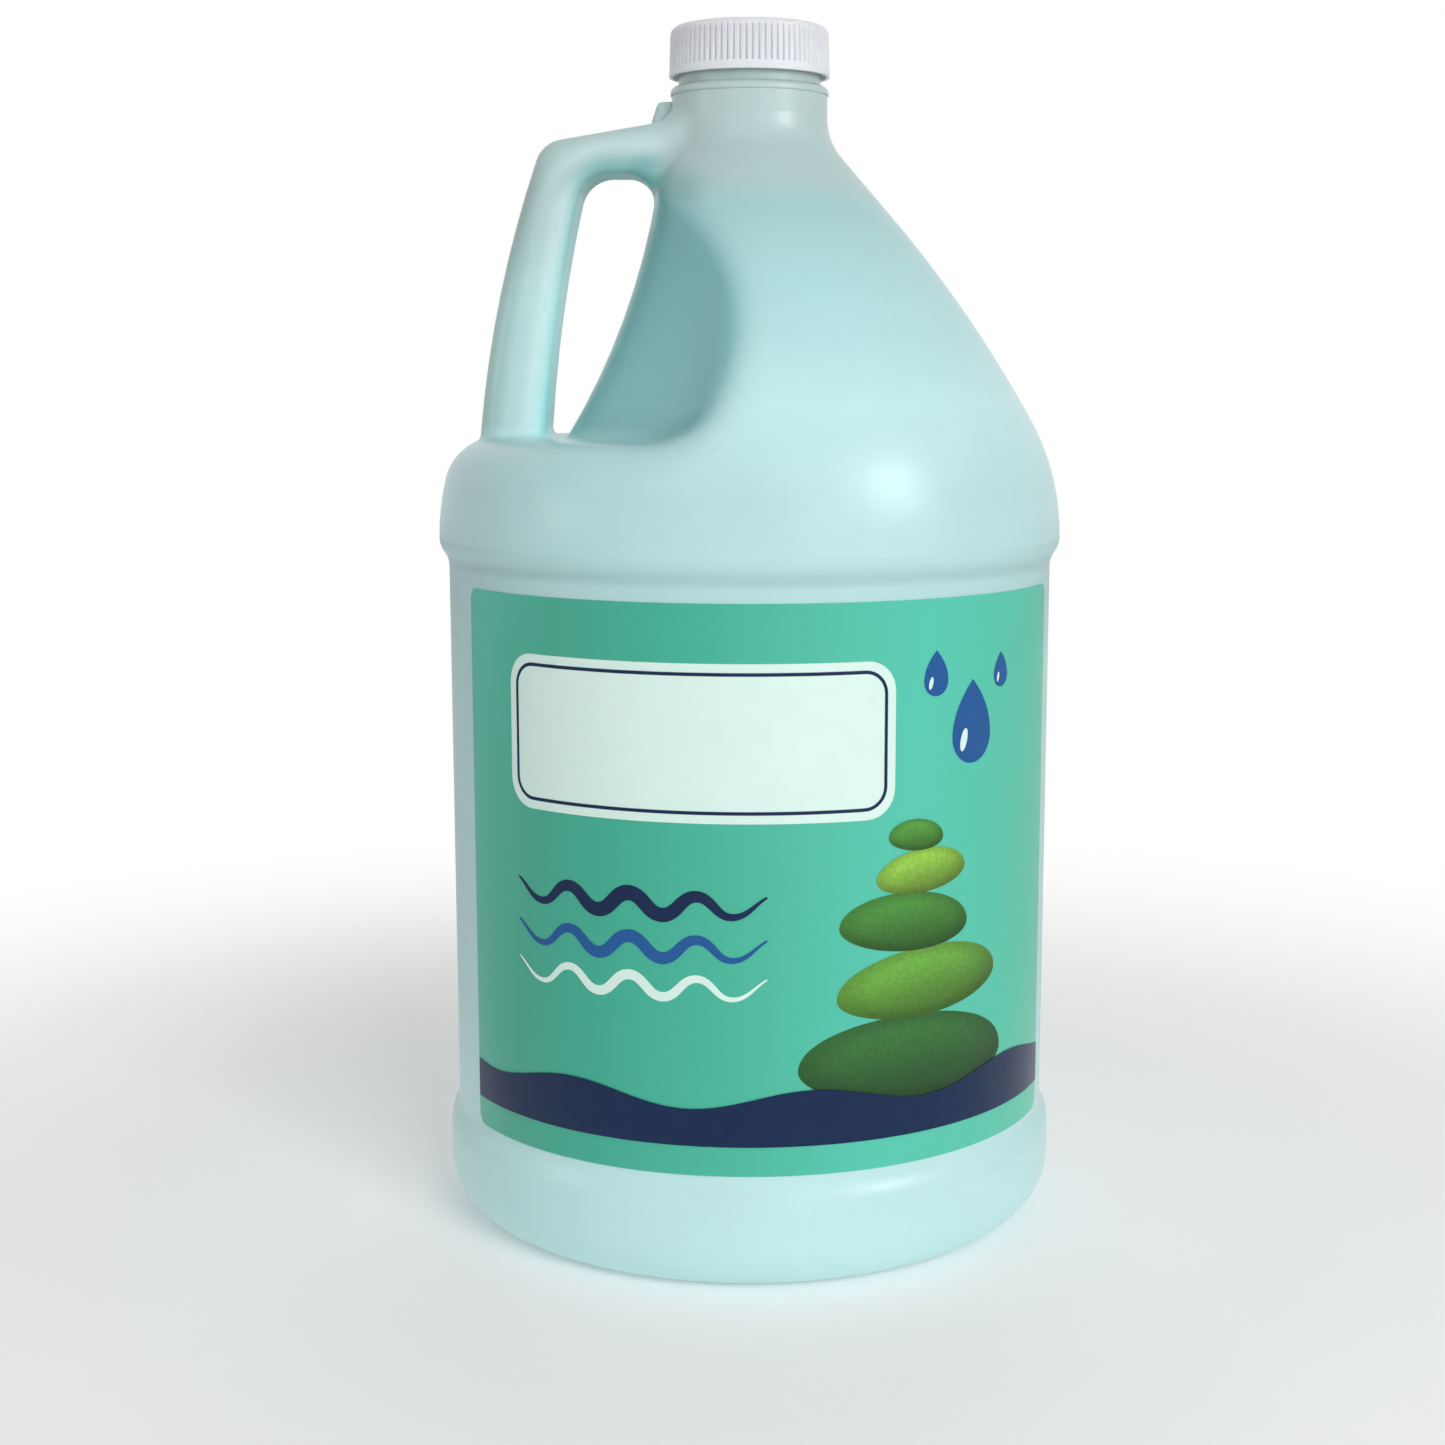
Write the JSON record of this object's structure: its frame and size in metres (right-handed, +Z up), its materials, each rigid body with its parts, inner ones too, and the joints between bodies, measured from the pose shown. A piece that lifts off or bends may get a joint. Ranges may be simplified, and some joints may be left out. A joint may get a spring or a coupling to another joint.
{
  "type": "lotion jug",
  "caption": "Round blow-moulded jug with a hollow side handle, a ribbed screw cap and a wrap label, full of massage lotion for refilling smaller bottles.",
  "frame": {"origin": "centre of the foot ring on the surface that the jug stands on", "axes": "+Z up along the jug's axis, -X towards the handle, -Y towards the front of the label"},
  "size_m": [0.1546, 0.1546, 0.2935],
  "materials": {
    "jug_hdpe": "satin, blow-moulded, milky and tinted by the lotion behind it",
    "cap_polypropylene": "satin, injection-moulded",
    "liner_foam": "matt foam",
    "label_film": "gloss printed film",
    "lotion": "smooth, wet"
  },
  "bodies": {
    "jug": {"jug_body": "jug_hdpe", "label": "label_film", "lotion_fill": "lotion"},
    "liner": {"cap_liner": "liner_foam"},
    "cap": {"screw_cap": "cap_polypropylene"}
  },
  "joints": [
    {"name": "cap_lift", "type": "slide", "parent": "jug", "child": "liner", "axis": [0, 0, 1], "range_m": [0, 0.0064]},
    {"name": "cap_turn", "type": "hinge", "parent": "liner", "child": "cap", "pos_m": [0, 0, 0.288], "axis": [0, 0, 1], "range_deg": [0, 540]}
  ],
  "couplings": [
    {"joint": "cap_lift", "follows": "cap_turn", "m_per_rad": 0.00067373}
  ]
}
